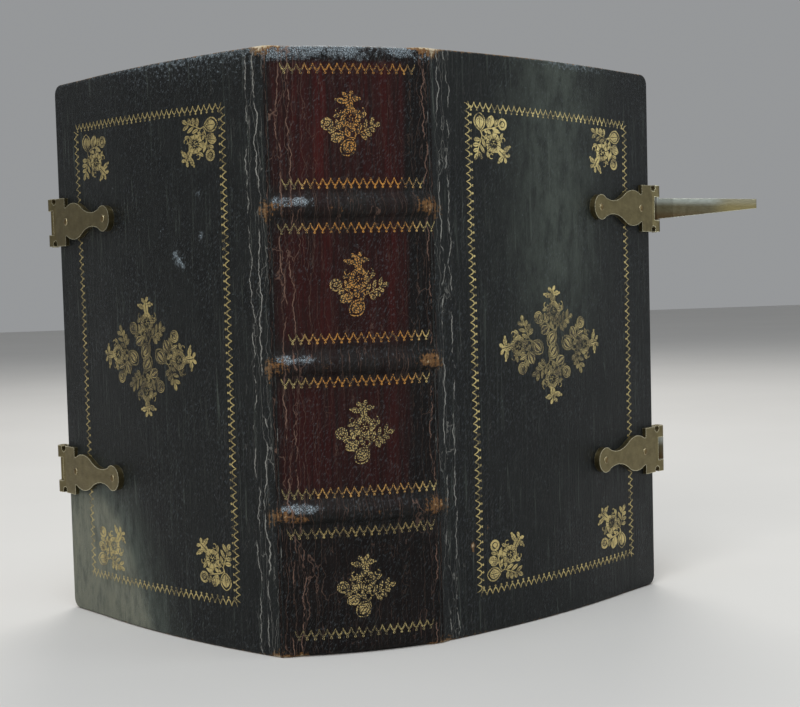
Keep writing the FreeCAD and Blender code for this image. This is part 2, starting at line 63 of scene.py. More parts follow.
# The room. A pale plain table, a soft sky, a large key light at the left, a window's sheen from the
# right and a cool light from above.
bpy.context.scene.view_settings.view_transform = "Standard"
bpy.context.scene.view_settings.look = "None"


class Graph:
    """Writes the nodes of one material or node group, whose patterns run along 2 or 3 axes."""

    def __init__(self, tree, axes=3):
        self.tree = tree
        self.axes = f"{axes}D"

    def add(self, kind, settings=None, **inputs):
        made = self.tree.nodes.new(kind if kind.startswith("Node") else "ShaderNode" + kind)
        for key, value in (settings or {}).items():
            setattr(made, key, value)
        for key, value in inputs.items():
            index = key[1:]
            socket = made.inputs[int(index) if index.isdigit() else key.replace("_", " ")]
            self.feed(socket, value)
        return made

    def feed(self, socket, value):
        if isinstance(value, bpy.types.Node):
            value = value.outputs[0]
        if isinstance(value, bpy.types.NodeSocket):
            self.tree.links.new(value, socket)
        else:
            socket.default_value = value

    def math(self, operation, a, b=0.0, c=0.0):
        return self.add("Math", {"operation": operation}, i0=a, i1=b, i2=c).outputs[0]

    def span(self, value, low, high, start=0.0, end=1.0):
        """Carries a value from low..high to start..end, with smooth ends."""
        return self.add("MapRange", {"interpolation_type": "SMOOTHSTEP"}, Value=value, From_Min=low,
                        From_Max=high, To_Min=start, To_Max=end).outputs[0]

    def blend(self, share, a, b):
        made = self.add("Mix", {"data_type": "RGBA"})
        self.feed(made.inputs["Factor"], share)
        for socket, value in ((made.inputs[6], a), (made.inputs[7], b)):
            self.feed(socket, value)
        return made.outputs[2]

    def noise(self, where, scale, detail=3.0, rough=0.55, twist=0.0):
        return self.add("TexNoise", {"noise_dimensions": self.axes}, Vector=where, Scale=scale,
                        Detail=detail, Roughness=rough, Distortion=twist).outputs[0]

    def cells(self, where, feature, **more):
        settings = {"voronoi_dimensions": self.axes, "feature": feature}
        return self.add("TexVoronoi", settings, Vector=where, **more).outputs[0]

    def around(self, value, force):
        """Carries 0..1 to both sides of zero."""
        return self.math("MULTIPLY", self.math("SUBTRACT", value, 0.5), force)

    def scaled(self, where, x, y, z=1.0):
        return self.add("VectorMath", {"operation": "MULTIPLY"}, i0=where, i1=(x, y, z)).outputs[0]

    def mark(self, name, output="Fac"):
        return self.add("Attribute", {"attribute_name": name}).outputs[output]

    def group(self, tree, **inputs):
        made = self.tree.nodes.new("ShaderNodeGroup")
        made.node_tree = tree
        for key, value in inputs.items():
            self.feed(made.inputs[key], value)
        return made


def material(name, axes=3):
    made = bpy.data.materials.new(name)
    made.use_nodes = True
    made.node_tree.nodes.clear()
    return made, Graph(made.node_tree, axes)


def finished(graph, color, rough, metal=0.0, normal=None, **more):
    """Closes a material with one surface shader."""
    surface = graph.add("BsdfPrincipled", None, Base_Color=color, Roughness=rough, Metallic=metal, **more)
    if normal is not None:
        graph.feed(surface.inputs["Normal"], normal)
    graph.feed(graph.add("OutputMaterial").inputs["Surface"], surface)


table = bpy.data.meshes.new("table")
table.from_pydata([(-3, -3, 0), (3, -3, 0), (3, 3, 0), (-3, 3, 0)], [], [(0, 1, 2, 3)])
floor = bpy.data.objects.new("table", table)
bpy.context.scene.collection.objects.link(floor)
paint, graph = material("table_paint")
mottle = graph.noise(graph.add("TexCoord").outputs["Object"], 6.0)
finished(graph, graph.blend(mottle, (0.60, 0.59, 0.57, 1), (0.66, 0.65, 0.63, 1)), 0.75)
table.materials.append(paint)

world = bpy.data.worlds.new("room")
world.use_nodes = True
world.node_tree.nodes["Background"].inputs["Color"].default_value = (0.80, 0.82, 0.84, 1)
world.node_tree.nodes["Background"].inputs["Strength"].default_value = 0.38
bpy.context.scene.world = world
for name, spot, power, size, color in (
        ("key", (-0.75, -0.95, 0.95), 9.5, 0.7, (1.0, 0.97, 0.93)),
        ("window", (1.05, -0.35, 0.42), 2.2, 0.5, (0.90, 0.97, 1.0)),
        ("top", (-0.15, -0.30, 1.30), 7.5, 0.6, (0.90, 0.95, 1.0)),
        ("rim", (0.25, 0.85, 0.95), 6.0, 0.6, (1.0, 0.97, 0.92))):
    lamp = bpy.data.lights.new(name, "AREA")
    lamp.energy, lamp.size, lamp.color = power, size, color
    holder = bpy.data.objects.new(name, lamp)
    holder.location = spot
    holder.rotation_euler = (Vector((0, 0, 0.09)) - Vector(spot)).to_track_quat("-Z", "Y").to_euler()
    bpy.context.scene.collection.objects.link(holder)


# The form of the binding. Both covers have a crowned face with a bevelled fore edge; the back is
# a shallow arc with three raised bands. Distances are in millimetres, u runs from the joint outwards.
HEIGHT = 180.0
WIDTH = 106.0
HALF = 25.7
TURN = {-1: 57.4, 1: 28.5}
CORNER = 3.5
BEVEL, BEVEL_RISE = 19.0, 1.6
TURNED_IN = 9.9
BANDS = (133.0, 87.0, 43.0)
BACK_RADIUS, BACK_CENTRE = 112.78, 108.58
# Distances from an edge at which its rounding has rows of points
EDGE_STEPS = np.array([0, 0.04, 0.12, 0.25, 0.42, 0.65, 0.95, 1.3, 1.8, 2.4, 3.1, 4.0])


def ripple(a, b, cell_a, cell_b, seed):
    """Smooth unevenness between -1 and 1 on a lattice of these cells."""
    grid = np.random.RandomState(seed).uniform(-1, 1, (41, 43))
    a, b = np.broadcast_arrays(np.asarray(a, float) / cell_a + 100, np.asarray(b, float) / cell_b + 100)
    i, j = np.floor(a).astype(int), np.floor(b).astype(int)
    s, t = a - i, b - j
    s, t = s * s * (3 - 2 * s), t * t * (3 - 2 * t)
    near, far = grid[i % 41, j % 43], grid[(i + 1) % 41, j % 43]
    near_up, far_up = grid[i % 41, (j + 1) % 43], grid[(i + 1) % 41, (j + 1) % 43]
    return (near * (1 - s) + far * s) * (1 - t) + (near_up * (1 - s) + far_up * s) * t


def fade(value, low, high):
    share = np.clip((value - low) / (high - low), 0, 1)
    return share * share * (3 - 2 * share)


def round_over(d, radius):
    """Drop of a rounded edge at a distance from the outline."""
    left = np.clip(radius - d, 0, radius)
    return radius - np.sqrt(np.maximum(radius * radius - left * left, 0))


def edge_distance(u, z):
    """Distance inwards from the outline of a cover with rounded corners."""
    du, dz = WIDTH - u, np.minimum(z, HEIGHT - z)
    corner = CORNER - np.hypot(np.maximum(CORNER - du, 0), np.maximum(CORNER - dz, 0))
    return np.where((du < CORNER) & (dz < CORNER), corner, np.minimum(du, dz))


# The crown is an arc through points by the joint, near the middle and where the bevel starts
crown = np.array([(0.5, 0.35), (45.0, 4.0), (WIDTH - BEVEL, BEVEL_RISE)])
squares = (crown ** 2).sum(1)
CROWN_U, CROWN_V = np.linalg.solve(2 * (crown[1:] - crown[0]), squares[1:] - squares[0])
CROWN_RADIUS = math.hypot(crown[0][0] - CROWN_U, crown[0][1] - CROWN_V)


def cover_rise(u):
    """Height of the outer face over the line from the joint to the fore edge."""
    arc = CROWN_V + np.sqrt(CROWN_RADIUS ** 2 - (u - CROWN_U) ** 2)
    return np.where(u > WIDTH - BEVEL, BEVEL_RISE * (WIDTH - u) / BEVEL, arc)


def on_cover(side, u, z, out=0.0):
    """A point of the cover's outer face, in metres."""
    u, z = np.broadcast_arrays(np.asarray(u, float), np.asarray(z, float))
    edge = edge_distance(u, z)
    uneven = 0.10 * ripple(u, z, 17, 26, 3 + side) + 0.035 * ripple(u, z, 3.1, 9, 7 + side)
    v = cover_rise(u) + out + uneven * fade(edge, 0.5, 6) - round_over(edge, 1.0)
    return cover_frame(side, u, v, z)


def cover_frame(side, u, v, z):
    t = math.radians(TURN[side])
    return np.stack([side * (HALF + u * math.cos(t) + v * math.sin(t)),
                     u * math.sin(t) - v * math.cos(t), z + 0 * u], -1) / 1000


def band_relief(x, z):
    """Height of the raised bands, which sink towards the joints."""
    total, radius, sunk = 0, 3.479, 1.079
    for height in BANDS:
        d = np.abs(z - height - 0.25 * ripple(x, height, 8, 1, 21))
        arch = np.sqrt(np.maximum(radius ** 2 - d * d, 0)) - sunk
        foot = 0.5 * (1 - fade(d, 2.6, 4.5))
        total = total + np.where(d < 3.1, np.maximum(arch, foot), foot)
    return total * (1 - 0.5 * fade(np.abs(x), 18, 25.4))


def cap_radius(x):
    """Rounding of the back's ends, which narrows at the joints."""
    return 2.6 - 1.4 * fade(np.abs(x), 19, 23)


def on_spine(x, z, out=0.0):
    """A point of the back's outer face, in metres."""
    x, z = np.broadcast_arrays(np.asarray(x, float), np.asarray(z, float))
    ends = np.minimum(z, HEIGHT - z)
    uneven = 0.10 * ripple(x, z, 2.6, 46, 11) + 0.10 * ripple(x, z, 11, 19, 12)
    uneven = uneven + 0.03 * ripple(x, z, 1.3, 7, 13)
    rise = band_relief(x, z) + uneven * fade(ends, 0.6, 5) - round_over(ends, cap_radius(x))
    return back_frame(x, BACK_RADIUS + out + rise, z)


def back_frame(x, reach, z):
    """A point at a distance from the axis of the back's arc, in metres."""
    lean = x / BACK_RADIUS
    return np.stack([reach * np.sin(lean), BACK_CENTRE - reach * np.cos(lean), z + 0 * x], -1) / 1000


def piece(name, points, faces, marks):
    """Makes a mesh object from points in metres, with its values for each point."""
    mesh = bpy.data.meshes.new(name)
    mesh.from_pydata(points.reshape(-1, 3).tolist(), [], faces)
    for key, values in marks.items():
        if np.shape(values)[-1] == 3:
            mesh.attributes.new(key, "FLOAT_VECTOR", "POINT").data.foreach_set(
                "vector", np.asarray(values, np.float32).ravel())
        else:
            mesh.attributes.new(key, "FLOAT", "POINT").data.foreach_set(
                "value", np.asarray(values, np.float32).ravel())
    mesh.polygons.foreach_set("use_smooth", [True] * len(mesh.polygons))
    made = bpy.data.objects.new(name, mesh)
    bpy.context.scene.collection.objects.link(made)
    return made


def sheet_faces(rows, columns, start=0, flip=False):
    """Quads of a grid of points stored row by row."""
    faces = []
    for i in range(rows - 1):
        for j in range(columns - 1):
            a = start + i * columns + j
            quad = (a, a + 1, a + columns + 1, a + columns)
            faces.append(quad[::-1] if flip else quad)
    return faces


# Leather of the two covers. Black calf drawn over each board, turned in round three edges, and
# carried over the joint to the edge of the back, where it cracks. A grey-green sheen and bluish glints are
# painted on it.
grain = bpy.data.node_groups.new("calf_grain", "ShaderNodeTree")
grain.interface.new_socket("Flat", in_out="INPUT", socket_type="NodeSocketVector")
for name in ("Height", "Streaks", "Patches", "Glints", "Scratches", "Cracks", "Creases", "Crackle"):
    grain.interface.new_socket(name, in_out="OUTPUT", socket_type="NodeSocketFloat")
graph = Graph(grain, axes=2)
flat = graph.add("NodeGroupInput").outputs[0]
pebbles = graph.cells(flat, "SMOOTH_F1", Scale=1.9, Smoothness=0.6, Randomness=0.9)
fine = graph.noise(flat, 4.5, 4.0, 0.65)
streaks = graph.noise(graph.scaled(flat, 0.9, 0.035), 1.0, 5.0, 0.62, 0.4)
patches = graph.noise(graph.scaled(flat, 0.06, 0.035), 1.0, 4.0, 0.6, 0.6)
wander = graph.add("TexNoise", {"noise_dimensions": "2D"}, Vector=flat, Scale=0.12, Detail=4.0).outputs[1]
lines = []
for across, along, drift, width in ((0.30, 0.022, 0.9, 0.022), (0.85, 0.035, 1.5, 0.045)):
    bent = graph.add("VectorMath", {"operation": "ADD"}, i0=graph.scaled(flat, across, along),
                     i1=graph.scaled(wander, drift, drift))
    lines.append(graph.span(graph.cells(bent, "DISTANCE_TO_EDGE", Scale=1.0), 0.0, width, 1.0, 0.0))
broken = graph.span(graph.noise(graph.scaled(flat, 0.5, 0.07), 1.0, 4.0, 0.7), 0.46, 0.64)
tilted = graph.add("VectorRotate", {"rotation_type": "Z_AXIS"}, Vector=flat, Angle=0.5)
scratches = graph.noise(graph.scaled(tilted, 3.2, 0.16), 1.0, 2.0, 0.5)
# Painted glints: fine tilted flecks where light catches the grain
grain_glints = graph.span(graph.noise(graph.scaled(tilted, 1.7, 0.7), 1.0, 2.0, 0.6), 0.56, 0.72)
net = graph.cells(graph.scaled(flat, 1.5, 1.0), "DISTANCE_TO_EDGE", Scale=1.0)
crackle = graph.math("MULTIPLY", graph.span(net, 0.02, 0.14), graph.span(fine, 0.38, 0.60))
height = graph.math("ADD", graph.math("MULTIPLY", pebbles, 0.45), graph.math("MULTIPLY", fine, 0.55))
height = graph.math("ADD", height, graph.math("MULTIPLY", streaks, 1.1))
outlet = graph.add("NodeGroupOutput")
found = (height, streaks, patches, grain_glints, graph.span(scratches, 0.66, 0.74), lines[0],
         graph.math("MULTIPLY", lines[1], broken), crackle)
for socket, value in zip(outlet.inputs, found):
    graph.feed(socket, value)

# Bluish white of painted highlights and glints, also of real scuffs, and the grey-green of a painted
# reflection
GLINT_AND_SCUFF_BLUE, REFLECTION_GREY = (0.34, 0.41, 0.46, 1), (0.17, 0.175, 0.135, 1)


def leather(name, tones, relief, gloss, seams):
    """Aged calf. Its marks say where it is rubbed, red-brown or creased, where a sheen is painted, and
    where bluish-white highlights are painted on crackled grain, with real scuffs; the seams are long cracks
    near these distances across."""
    made, g = material(name, axes=2)
    flat, wear, painted_sheen = g.mark("flat", "Vector"), g.mark("wear"), g.mark("painted_sheen")
    crease, glint_and_scuff = g.mark("crease"), g.mark("glint_and_scuff")
    skin = g.group(grain, Flat=flat)
    streaks, patches = skin.outputs["Streaks"], skin.outputs["Patches"]
    color = g.blend(g.span(patches, 0.35, 0.7), tones[0], tones[1])
    reddish = g.math("MULTIPLY", g.mark("red"), g.span(streaks, 0.32, 0.6, 0.45, 1.0))
    color = g.blend(reddish, color, tones[2])
    # Painted sheen: a grey-green reflection painted in cloudy patches where its mark is high, and a
    # brighter painted reflection where the mark is strongest.
    clouds = g.span(g.noise(g.scaled(flat, 0.25, 0.10), 1.0, 5.0, 0.7), 0.28, 0.7, 0.35, 1.0)
    painted_sheen_share = g.math("MULTIPLY", painted_sheen, clouds)
    color = g.blend(painted_sheen_share, color, tones[3])
    color = g.blend(g.math("MULTIPLY", g.span(painted_sheen, 0.85, 1.4), clouds), color, REFLECTION_GREY)
    color = g.blend(g.math("MULTIPLY", g.span(streaks, 0.58, 0.78), 0.5), color, tones[3])
    # Painted glints on the grain in bluish white, stronger on the darkest leather
    grain_glints = g.math("MULTIPLY", skin.outputs["Glints"], g.span(patches, 0.65, 0.35, 0.02, 0.085))
    color = g.blend(grain_glints, color, GLINT_AND_SCUFF_BLUE)
    torn = g.math("ADD", wear, g.around(g.noise(flat, 0.9, 6.0, 0.7), 1.5))
    torn = g.math("ADD", torn, g.around(streaks, 1.2))
    rubbed, bare = g.span(torn, 0.62, 0.85), g.span(torn, 1.0, 1.35)
    crazed = g.span(g.math("MULTIPLY_ADD", patches, 0.6, crease), 0.7, 1.4, 0.0, 0.6)
    deep = g.math("MULTIPLY", skin.outputs["Cracks"], crazed)
    shallow = g.math("MULTIPLY", skin.outputs["Creases"], g.math("MULTIPLY", crease, 0.55))
    split = g.math("MAXIMUM", deep, shallow)
    across = g.math("ABSOLUTE", g.add("SeparateXYZ", None, Vector=flat).outputs[0])
    for k, at in enumerate(seams):
        drift = g.noise(g.scaled(flat, 0.03, 0.055 + 0.02 * k), 1.0, 5.0, 0.62)
        gap = g.math("ABSOLUTE", g.math("SUBTRACT", across, g.math("MULTIPLY_ADD", drift, 6.0, at - 3.0)))
        parts = g.noise(g.scaled(flat, 0.2, 0.09 + 0.03 * k), 1.0, 4.0, 0.7)
        parts = g.span(parts, 0.42, 0.56, 0.0, 0.9)
        line = g.math("MULTIPLY", g.span(gap, 0.08, 0.24, 1.0, 0.0), parts)
        split = g.math("MAXIMUM", split, line)
    color = g.blend(g.math("MULTIPLY", skin.outputs["Scratches"], 0.4), color, (0.05, 0.057, 0.055, 1))
    # Painted bluish-white highlights on the crackled grain, with real scuffs where the mark holds them
    patchy = g.span(g.math("ADD", glint_and_scuff, g.around(g.noise(flat, 0.8, 5.0, 0.7), 2.0)), 0.25, 0.9)
    color = g.blend(g.math("MULTIPLY", patchy, skin.outputs["Crackle"]), color, GLINT_AND_SCUFF_BLUE)
    color = g.blend(rubbed, color, tones[4])
    color = g.blend(split, color, tones[6])
    color = g.blend(bare, color, tones[5])
    rough = g.math("MULTIPLY_ADD", rubbed, 0.25, g.span(patches, 0.3, 0.7, 0.34, 0.46))
    rough = g.math("MULTIPLY_ADD", painted_sheen_share, 0.08, rough)
    lift = g.math("MULTIPLY_ADD", g.math("MAXIMUM", rubbed, split), -0.5, skin.outputs["Height"])
    bump = g.add("Bump", None, Height=lift, Strength=relief, Distance=0.00022)
    finished(g, color, rough, 0.0, bump, Specular_IOR_Level=gloss)
    return made


# Tones: black, worn black, red-brown, painted sheen, rubbed, bare and cracked
cover_calf = leather("cover_calf", (
    (0.0026, 0.0031, 0.0036, 1), (0.0064, 0.0074, 0.0078, 1), (0.05, 0.012, 0.011, 1),
    (0.074, 0.090, 0.076, 1), (0.15, 0.085, 0.038, 1), (0.52, 0.44, 0.31, 1),
    (0.26, 0.26, 0.24, 1)), relief=0.9, gloss=0.17, seams=(2.2, 5.4))
# Rubbed places of each cover and scuffs of the back one: across, up, radius and force
RUBBED = {1: ((11.6, 28, 1.9, 1.0), (18, 33.5, 1.3, 0.8), (28, 120, 5, 0.2)), -1: ((12, 150, 4, 0.2),)}
SCUFFS = ((37.6, 120.6, 1.3, 0.9), (36, 118.6, 1.3, 1.2), (34.0, 117.0, 0.9, 1.4), (26.5, 138.5, 0.8, 1.0),
          (25.5, 126, 1.1, 0.8), (43, 128.5, 0.6, 0.9), (27.5, 150.5, 0.6, 0.7), (52, 107, 0.6, 0.8))


def spots(u, z, places):
    return sum(force * np.exp(-((u - across) ** 2 + (z - up) ** 2) / radius ** 2)
               for across, up, radius, force in places)


def cover_marks(side, u, z):
    """Where the cover's leather is rubbed and creased, where a sheen and bluish-white highlights are
    painted, and where the back cover is scuffed.
    """
    edge = edge_distance(u, z)
    wear = 0.50 * (1 - fade(edge, 0.0, 1.1)) + 0.20 * (1 - fade(edge, 1, 5))
    joint = 1 - fade(np.abs(u), 0.5, 5)
    wear = wear + joint * (0.10 + 0.95 * fade(z, HEIGHT - 6, HEIGHT) + 0.55 * (1 - fade(z, 0, 5)))
    for height in BANDS:
        wear = wear + joint * 0.72 * np.exp(-((z - height + 1) / 4.5) ** 2)
    wear = wear + spots(u, z, RUBBED[side])
    crease = 0.85 - 0.55 * fade(np.abs(u), 3.5, 9) - 0.2 * fade(np.abs(u), 12, 30)
    # Front: a painted sheen, a window's reflection over the upper middle, and a painted highlight along the
    # head.
    if side > 0:
        painted_sheen = np.exp(-((u - 52) / 20) ** 2) * fade(z, 70, 125) * 0.75
        glint_and_scuff = 0.55 * np.exp(-((u - 62) / 20) ** 2) * fade(z, HEIGHT - 4, HEIGHT - 0.5)
    else:
        # Back: a painted reflection over the lower corner at the fore edge, painted highlights along the
        # head, and real scuffs.
        painted_sheen = 1.5 * fade(u + (70 - z) * 0.5, 66, 104) * (1 - fade(z, 30, 60))
        glint_and_scuff = 0.30 * fade(z, HEIGHT - 14, HEIGHT - 1) * (1 - fade(u, 30, 90))
        glint_and_scuff = glint_and_scuff + 0.25 * fade(z, HEIGHT - 3, HEIGHT - 0.5) + spots(u, z, SCUFFS)
    return {"wear": wear, "painted_sheen": np.clip(painted_sheen + 0.04, 0, 1.4), "crease": crease,
            "glint_and_scuff": np.clip(glint_and_scuff, 0, 1), "red": 0 * wear}


def onwards(here, before, reach):
    way = here - before
    return here + way / np.linalg.norm(way, axis=1)[:, None] * reach


def cover_leather(side, name):
    """Outer face, rounded edges and turned-in edges of one cover, with the strip over its joint."""
    middle = np.linspace(5.0, HEIGHT - 5.0, 171)
    z = np.concatenate([EDGE_STEPS, middle, HEIGHT - EDGE_STEPS[::-1]])
    u = np.concatenate([np.linspace(2.4, WIDTH - 5, 97), WIDTH - EDGE_STEPS[::-1]])
    short = CORNER - np.sqrt(np.maximum(CORNER ** 2 - np.maximum(u - (WIDTH - CORNER), 0) ** 2, 0))
    z_grid = short + (HEIGHT - 2 * short) * z[:, None] / HEIGHT
    face = on_cover(side, u, z_grid)
    # The strip over the joint: a curve from the face to the edge of the back
    board, board_next = on_cover(side, 2.4, z), on_cover(side, 2.6, z)
    spine, spine_next = on_spine(side * 24.2, z, 0.07), on_spine(side * 24.0, z, 0.07)
    inner, outer = onwards(spine, spine_next, 0.0009), onwards(board, board_next, 0.0011)
    q = np.linspace(0, 1, 13)[None, :-1, None]
    strip = (spine[:, None] * (1 - q) ** 3 + inner[:, None] * 3 * q * (1 - q) ** 2
             + outer[:, None] * 3 * q * q * (1 - q) + board[:, None] * q ** 3)
    points = np.concatenate([strip, face], 1)
    rows, columns = points.shape[:2]
    u_all = np.concatenate([np.linspace(-1.5, 2.2, 12), u])
    z_all = np.concatenate([np.repeat(z[:, None], 12, 1), z_grid], 1)
    marks = cover_marks(side, u_all + 0 * z_all, z_all)
    marks["flat"] = np.stack([side * u_all + 0 * z_all, z_all, 0 * z_all], -1)
    faces = sheet_faces(rows, columns, 0, side < 0)
    # Wall and turned edge, drawn from the outline
    loop = [(0, j) for j in range(columns)] + [(i, columns - 1) for i in range(1, rows - 1)] \
        + [(rows - 1, j) for j in range(columns - 1, -1, -1)]
    i_loop, j_loop = np.array(loop).T
    edge_u, edge_z = u_all[j_loop], z_all[i_loop, j_loop]
    start = points[i_loop, j_loop]
    way_u = np.maximum(edge_u - (WIDTH - CORNER), 0) / CORNER
    way_z = np.sqrt(1 - np.minimum(way_u, 1) ** 2) * np.where(edge_z > 90, 1, -1)
    thin = edge_u < 2.5
    t = math.radians(TURN[side])
    inward = np.array([-side * math.sin(t), math.cos(t), 0]) / 1000
    rings = [points.reshape(-1, 3)]
    total = rows * columns
    ring_marks = {key: [values.reshape(total, -1)] for key, values in marks.items()}
    base = cover_rise(np.maximum(edge_u, 0)) - 1.0
    for depth, inset in ((0.35, 0), (0.75, 0), (0.93, 0.07), (1.0, 0.3), (1.0, 1.0), (1.0, 5.0),
                         (1.0, TURNED_IN)):
        drop = np.where(thin, 0.9, base + 3.6) * depth
        u_in = np.where(inset < 2, edge_u - way_u * inset, np.minimum(edge_u, WIDTH - inset))
        z_in = np.where(inset < 2, edge_z - way_z * inset, np.clip(edge_z, inset, HEIGHT - inset))
        ring = cover_frame(side, u_in, base - drop, z_in)
        ring[thin] = start[thin] + inward * drop[thin, None]
        ring[thin, 2] = z_in[thin] / 1000
        rings.append(ring)
        # The turned edges are rubbed, most near the outline, and carry a faint painted sheen.
        rubbed = 0.40 * (1 - min(inset, 1)) + 0.1
        for key, value in (("wear", rubbed), ("painted_sheen", 0.1), ("crease", 0.3), ("glint_and_scuff", 0), ("red", 0)):
            ring_marks[key].append(np.full((len(ring), 1), value))
        ring_marks["flat"].append(np.stack([side * u_in + 0 * z_in, z_in - drop, 0 * z_in], -1))
    index = np.array([i * columns + j for i, j in loop])
    for k in range(len(rings) - 1):
        ahead = np.arange(total + k * len(loop), total + (k + 1) * len(loop))
        for a in range(len(loop) - 1):
            quad = (index[a], index[a + 1], ahead[a + 1], ahead[a])
            faces.append(quad if side < 0 else quad[::-1])
        index = ahead
    made = piece(name, np.concatenate(rings), [tuple(int(n) for n in quad) for quad in faces],
                 {key: np.concatenate(values) for key, values in ring_marks.items()})
    made.data.materials.append(cover_calf)
    cover = "front_cover" if side > 0 else "back_cover"
    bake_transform(made)
    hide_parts(cover + "_leather")


cover_leather(1, "front_calf")
cover_leather(-1, "back_calf")

# Leather of the back. Red-brown calf in the upper three panels with darker edges, nearly black in
# the lowest, cracked along its height, and turned in over the ends of the pages. Its grain is taken
# from another place of the hide than the covers'.
APART = 300
spine_calf = leather("spine_calf", (
    (0.0026, 0.0029, 0.0029, 1), (0.0056, 0.0050, 0.0048, 1), (0.050, 0.0042, 0.0034, 1),
    (0.020, 0.023, 0.022, 1), (0.17, 0.088, 0.036, 1), (0.50, 0.40, 0.25, 1),
    (0.17, 0.105, 0.08, 1)), relief=1.0, gloss=0.09, seams=(APART - 21.3, APART - 18.4, APART + 23.2))
band_rows = np.concatenate([height + np.linspace(-5, 5, 33) for height in BANDS])
plain = np.arange(5.0, HEIGHT - 4.5, 1.1)
plain = plain[np.min(np.abs(plain[:, None] - np.array(BANDS)), axis=1) > 5.4]
z = np.sort(np.concatenate([EDGE_STEPS, HEIGHT - EDGE_STEPS, plain, band_rows]))
x = np.linspace(-25.4, 25.4, 76)
points = on_spine(x[None, :], z[:, None])
x_grid, z_grid = np.broadcast_arrays(x[None, :], z[:, None])
side_fade = fade(np.abs(x_grid), 15, 24)
on_band = sum(np.exp(-((z_grid - height) / 3.6) ** 2) for height in BANDS)
foot_of_band = sum(np.exp(-((z_grid - height) / 6.5) ** 4) for height in BANDS)
to_end = np.minimum(z_grid, HEIGHT - z_grid)
wear = (0.28 * on_band + on_band * side_fade * np.where(x_grid > 0, 0.52, 0.36) + 0.08 * side_fade
        + 0.50 * (1 - fade(to_end, 0, 1.2))
        + side_fade * 0.8 * (fade(z_grid, HEIGHT - 7, HEIGHT) + 0.7 * (1 - fade(z_grid, 0, 6))))
for across, up, radius, force in ((-4.3, 132, 3.0, 0.4), (-9.8, 86, 3.0, 0.3), (-17, 41.5, 4.5, 0.45),
                                  (8, 42.5, 5.0, 0.2), (-18.5, 0.5, 1.7, 0.7), (20, 86.5, 3.0, 0.3)):
    wear = wear + force * np.exp(-((x_grid - across) / radius) ** 2 - ((z_grid - up) / 1.6) ** 2)
# Stripes of brighter red: across, half width and force
brick = 0.38 + 0.14 * ripple(x_grid, z_grid, 3.2, 60, 31)
for across, half, force in ((-9, 1.9, 0.5), (11.5, 1.8, 0.35), (4.5, 1.2, 0.12), (-16, 1.6, 0.2)):
    drift = across + 0.7 * ripple(z_grid, across, 14, 1, 33)
    stripe = force * np.exp(-((x_grid - drift) / half) ** 4) * (0.35 + 0.65 * fade(z_grid, 78, 105))
    brick = brick + stripe * (0.75 + 0.5 * ripple(z_grid, across, 30, 1, 34))
edge_of_red = 16.5 + 1.5 * ripple(z_grid, 1, 24, 1, 35)
red = brick * fade(x_grid, -25, -22.5) * (1 - fade(x_grid, edge_of_red - 1.5, edge_of_red + 0.7)) \
    * fade(z_grid, 40, 46) * (1 - 0.72 * foot_of_band) * (1 - fade(z_grid, 174.5, 176)) + 0.05
# A faint painted sheen, stronger at the feet of the bands.
painted_sheen = 0.12 + 0.35 * foot_of_band * (z_grid < 150)
crease = 0.60 + 0.5 * (1 - fade(x_grid, -20, -8)) + 0.3 * side_fade + 0.9 * on_band
# Painted highlights in bluish white: on the rounded head of the back, brightest to the left, and along the
# upper side of each band, strongest at its left end.
glint = 1.1 * fade(x_grid, -25.2, -23) * (1 - fade(x_grid, -18, -9)) + 0.15
glint = glint * (0.72 + 0.45 * ripple(x_grid, z_grid, 1.9, 1.6, 37))
glint_and_scuff = 0.88 - 0.25 * fade(x_grid, -8, 16) + 0.4 * ripple(x_grid, z_grid, 3.6, 2.2, 36)
glint_and_scuff = glint_and_scuff * fade(z_grid, HEIGHT - 5.6, HEIGHT - 2.2)
for height in BANDS:
    glint_and_scuff = glint_and_scuff + glint * np.exp(-((z_grid - height - 1.6) / 1.4) ** 2)
marks = {"wear": wear, "painted_sheen": painted_sheen, "red": red, "crease": crease, "glint_and_scuff": np.clip(glint_and_scuff, 0, 1),
         "flat": np.stack([x_grid + APART, z_grid, x_grid * 0], -1)}
rings = [points.reshape(-1, 3)]
ring_marks = {key: [np.broadcast_to(values, z_grid.shape + values.shape[2:]).reshape(z_grid.size, -1)]
              for key, values in marks.items()}
faces = sheet_faces(len(z), len(x))
for end, row in ((0, 0), (1, len(z) - 1)):
    index = row * len(x) + np.arange(len(x))
    deep = np.where(np.abs(x) < 21.3, 1.0, 0.2)
    for inward, down in ((0.4, 0.0), (1.2, 0.05), (2.0, 0.0), (2.5, 0.05), (2.7, 0.3), (2.8, 0.8),
                         (2.6, 1.2)):
        height = HEIGHT - down if end else down
        ahead = sum(len(r) for r in rings) + np.arange(len(x))
        rings.append(back_frame(x, BACK_RADIUS - cap_radius(x) - inward * deep, height))
        # The turned-in leather at the head carries the painted highlight too.
        turned = {"wear": 0.25, "painted_sheen": 0.2, "red": 0, "crease": 0.5, "glint_and_scuff": 0.7 * end}
        for key, value in turned.items():
            ring_marks[key].append(np.full((len(x), 1), value))
        ring_marks["flat"].append(np.stack([x + APART, height + inward + x * 0, x * 0], -1))
        for a in range(len(x) - 1):
            quad = (index[a], index[a + 1], ahead[a + 1], ahead[a])
            faces.append(quad if end else quad[::-1])
        index = ahead
back_leather = piece("back_of_book_calf", np.concatenate(rings), [tuple(int(n) for n in q) for q in faces],
                     {key: np.concatenate(values) for key, values in ring_marks.items()})
back_leather.data.materials.append(spine_calf)
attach(back_leather, "book_block")
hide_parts("spine_leather")

